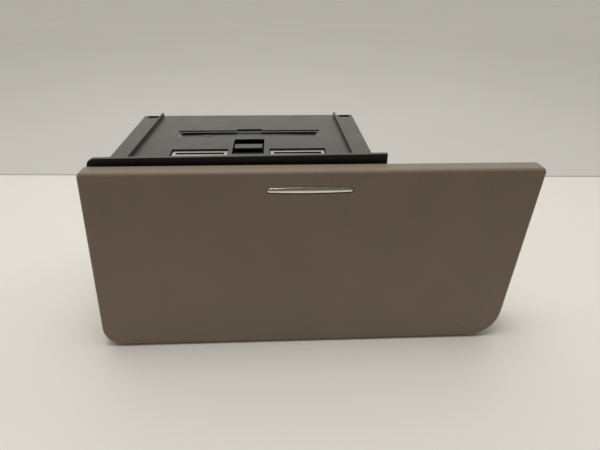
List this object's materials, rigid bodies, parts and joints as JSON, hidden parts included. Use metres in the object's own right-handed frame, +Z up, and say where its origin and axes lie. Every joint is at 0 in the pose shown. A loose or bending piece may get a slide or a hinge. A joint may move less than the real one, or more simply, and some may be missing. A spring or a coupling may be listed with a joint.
{
  "type": "dashboard storage drawer",
  "caption": "Push-to-open storage drawer for a vehicle dashboard: leaning fascia with a bright trim strip, sliding bin, flanged housing, latch, roll spring and damper.",
  "frame": {"origin": "on the surface that the housing stands on, under the middle of the overall width and depth", "axes": "+Z up, -Y the way the drawer opens, +X to the right seen from the fascia"},
  "size_m": [0.252, 0.1264, 0.1082],
  "materials": {
    "soft_touch": "taupe soft-touch paint over moulded plastic, faint grain",
    "black_plastic": "fine-grained moulded black plastic, satin",
    "bin_plastic": "charcoal moulded plastic, satin",
    "acetal": "natural light grey acetal, low sheen",
    "bright_chrome": "warm bright plating",
    "steel": "zinc-plated steel",
    "spring_steel": "rolled spring steel",
    "rubber": "matt black rubber",
    "mat": "ribbed dark rubber mat"
  },
  "bodies": {
    "housing": {"housing_shell": "black_plastic", "rear_cover": "black_plastic", "rear_cover_screws": "steel", "rear_buffers": "rubber", "left_guide_rail": "acetal", "right_guide_rail": "acetal", "guide_rail_screws": "steel", "left_front_glide": "acetal", "right_front_glide": "acetal", "left_locator_socket": "acetal", "right_locator_socket": "acetal", "deck_leaf_spring": "black_plastic", "leaf_spring_rivet": "black_plastic", "damper_body": "black_plastic", "bobbin_bracket": "steel", "bobbin_axle": "steel", "roll_spring": "spring_steel", "latch_bracket": "black_plastic", "latch_wire": "spring_steel", "floor_bracket_screws": "steel"},
    "damper_gear": {"damper_pinion": "acetal"},
    "bobbin": {"spring_bobbin": "acetal"},
    "drawer": {"fascia_panel": "soft_touch", "trim_strip": "bright_chrome", "trim_push_nuts": "steel", "carrier_plate": "black_plastic", "fascia_screws": "steel", "bin_screws": "steel", "closing_bumpers": "rubber", "drawer_bin": "bin_plastic", "bin_floor_screws": "steel", "bin_mat": "mat", "left_runner": "acetal", "right_runner": "acetal", "runner_screws": "steel", "gear_rack": "acetal", "cam_plate": "acetal", "spring_anchor": "black_plastic"}
  },
  "joints": [
    {"name": "drawer_slide", "type": "slide", "parent": "housing", "child": "drawer", "axis": [0, -1, 0], "range_m": [-0.0022, 0.068], "deforming": ["roll_spring", "latch_wire"]},
    {"name": "damper_pinion_spin", "type": "hinge", "parent": "housing", "child": "damper_gear", "pos_m": [-0.081, -0.022, 0.0135], "axis": [0, 0, 1], "continuous": true},
    {"name": "bobbin_spin", "type": "hinge", "parent": "housing", "child": "bobbin", "pos_m": [-0.058, -0.027, 0.009], "axis": [1, 0, 0], "continuous": true}
  ],
  "couplings": [
    {"joint": "damper_pinion_spin", "follows": "drawer_slide", "rad_per_m": 166.67},
    {"joint": "bobbin_spin", "follows": "drawer_slide", "rad_per_m": 212.77}
  ]
}
